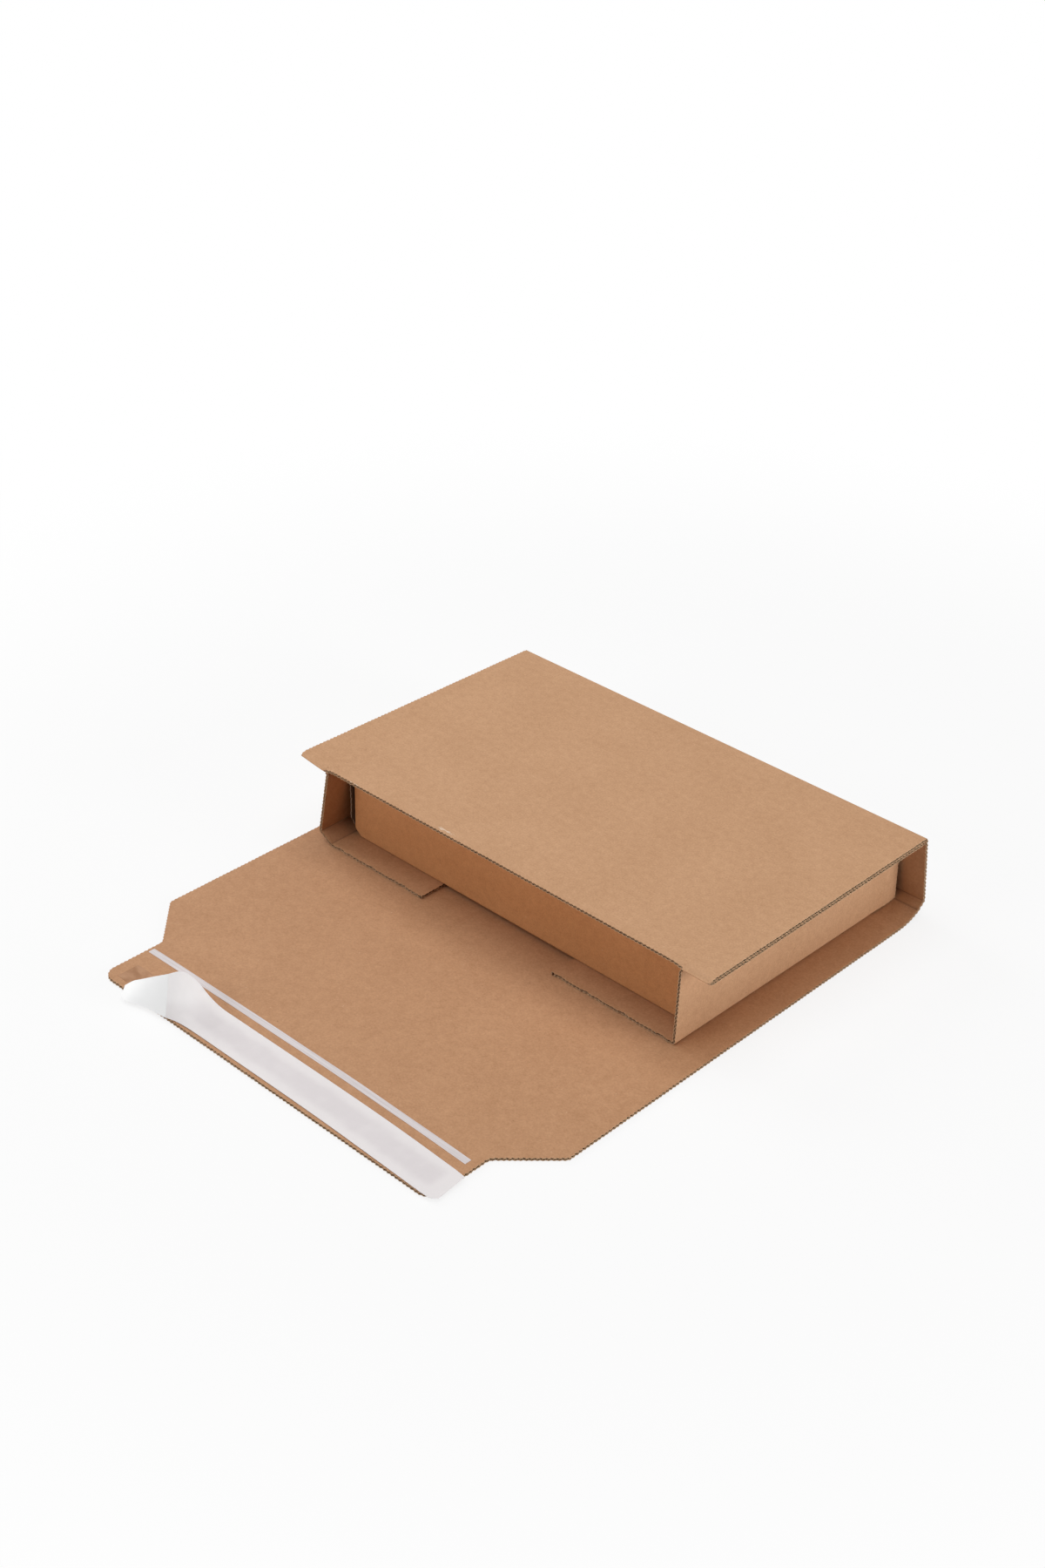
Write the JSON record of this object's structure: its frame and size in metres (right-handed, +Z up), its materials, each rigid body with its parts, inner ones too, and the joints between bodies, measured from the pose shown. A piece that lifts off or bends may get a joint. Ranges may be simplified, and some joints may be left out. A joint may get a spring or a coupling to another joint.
{
  "type": "book wrap mailer",
  "caption": "Corrugated book wrap mailer folded round a packed carton, its closing flap laid open with an adhesive band, a half-peeled release liner and a tear strip.",
  "frame": {"origin": "middle of the folded pack's footprint, under its top panel, on the surface that it rests on", "axes": "+Z up, +X along the sheet's length, -Y towards the opening and the closing flap"},
  "size_m": [0.352, 0.4337, 0.0625],
  "materials": {
    "kraft_board": "matte",
    "kraft_carton": "matte",
    "liner_paper": "satin",
    "adhesive": "gloss",
    "tear_tape": "satin"
  },
  "bodies": {
    "root": {"wrap_sheet": "kraft_board", "packed_carton": "kraft_carton"},
    "closing_flap": {"closing_flap": "kraft_board", "adhesive_strip": "adhesive", "release_liner": "liner_paper", "tear_strip": "tear_tape"}
  },
  "joints": [
    {"name": "closing_flap_lift", "type": "hinge", "parent": "root", "child": "closing_flap", "pos_m": [0, -0.109, 0.002], "axis": [-1, 0, 0], "range_deg": [0, 90]}
  ]
}
